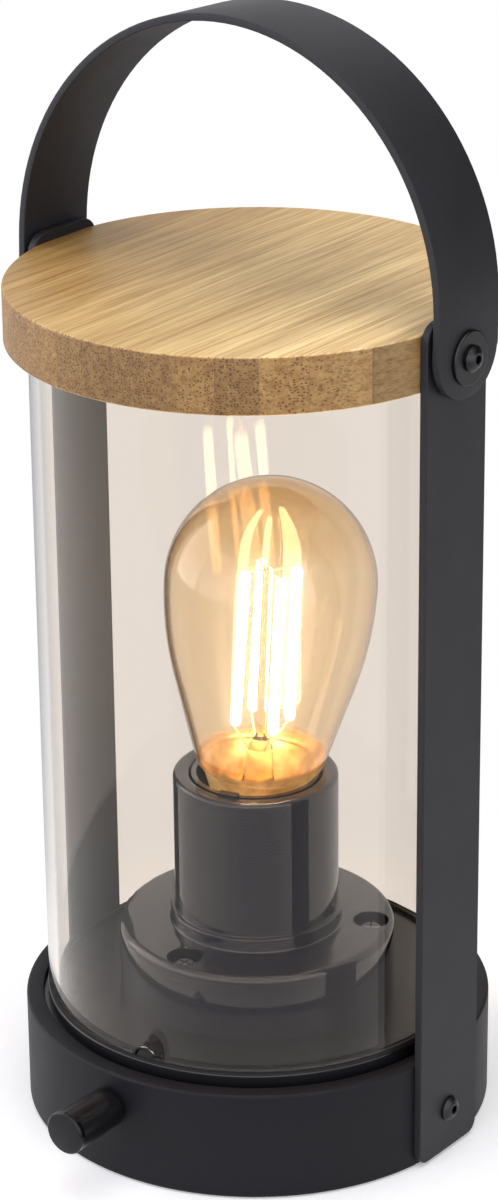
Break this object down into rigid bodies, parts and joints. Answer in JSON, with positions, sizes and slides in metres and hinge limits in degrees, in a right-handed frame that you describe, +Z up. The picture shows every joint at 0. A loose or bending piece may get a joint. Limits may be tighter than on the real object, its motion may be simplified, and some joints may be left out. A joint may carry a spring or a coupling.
{
  "type": "lantern table lamp",
  "caption": "Portable lantern lamp: drum base with dimmer knob, clear tube round a screw-in filament bulb, bamboo lid, flat side uprights and a swinging strap handle.",
  "frame": {"origin": "centre of the lamp's own axis on the resting surface", "axes": "+Z up; the knob points to -Y; the uprights and the handle's pivots are at +X and -X"},
  "size_m": [0.1602, 0.1655, 0.3435],
  "materials": {
    "dark_powder_coat": "fine-textured anthracite powder coat on steel",
    "black_plastic": "matt moulded",
    "dark_screw_steel": "blackened",
    "foot_rubber": "matt",
    "clear_tube": "clear, polished",
    "clear_silicone": "translucent, satin",
    "bamboo": "laminated strips, matt lacquer",
    "brass": "drawn, satin",
    "black_nylon": "matt",
    "grey_gloss_plastic": "glossy moulded",
    "bulb_clear_glass": "clear, polished",
    "black_vitrite": "glossy, fused",
    "tinned_metal": "tinned",
    "filament_coat": "lit phosphor coat",
    "dimmer_case": "satin",
    "dark_anodised": "turned, black anodised",
    "cell_sleeve": "shrink sleeve",
    "board_laminate": "solder-mask laminate",
    "port_steel": "nickel-plated",
    "lead_insulation": "satin"
  },
  "bodies": {
    "lantern": {"base_housing": "dark_powder_coat", "bottom_cover": "black_plastic", "cover_screws": "dark_screw_steel", "rubber_pad": "foot_rubber", "deck": "black_plastic", "glass_tube": "clear_tube", "tube_seal": "clear_silicone", "lid_seal": "clear_silicone", "bamboo_lid": "bamboo", "lid_inserts": "brass", "upright_right": "dark_powder_coat", "upright_left": "dark_powder_coat", "base_bolts": "dark_screw_steel", "pivot_spacers": "black_nylon", "pivot_washers": "dark_screw_steel", "pivot_bolts": "dark_screw_steel", "lampholder": "grey_gloss_plastic", "holder_screws": "dark_screw_steel", "holder_core": "black_plastic", "threaded_shell": "brass", "centre_contact": "brass", "dimmer": "dimmer_case", "dimmer_nut": "tinned_metal", "battery_tray": "black_plastic", "battery_cells": "cell_sleeve", "control_board": "board_laminate", "charge_port": "port_steel", "lamp_leads": "lead_insulation"},
    "handle": {"handle_strap": "dark_powder_coat"},
    "dial": {"knob": "dark_anodised", "dial_shaft": "tinned_metal"},
    "bulb_carrier": {"bulb_contact": "tinned_metal"},
    "bulb": {"bulb_glass": "bulb_clear_glass", "bulb_cap": "brass", "cap_insulator": "black_vitrite", "bulb_stem": "bulb_clear_glass", "filaments": "filament_coat", "filament_wires": "tinned_metal"}
  },
  "joints": [
    {"name": "handle_swing", "type": "hinge", "parent": "lantern", "child": "handle", "pos_m": [0, 0, 0.2555], "axis": [1, 0, 0], "range_deg": [-112.5, 117.5]},
    {"name": "dial_turn", "type": "hinge", "parent": "lantern", "child": "dial", "pos_m": [0, -0.083, 0.024], "axis": [0, 1, 0], "range_deg": [-198, 72]},
    {"name": "bulb_rise", "type": "slide", "parent": "lantern", "child": "bulb_carrier", "axis": [0, 0, 1], "range_m": [0, 0.0145]},
    {"name": "bulb_turn", "type": "hinge", "parent": "bulb_carrier", "child": "bulb", "pos_m": [0, 0, 0.08], "axis": [0, 0, 1], "range_deg": [0, 1440]}
  ],
  "couplings": [
    {"joint": "bulb_turn", "follows": "bulb_rise", "rad_per_m": 1731.4}
  ]
}
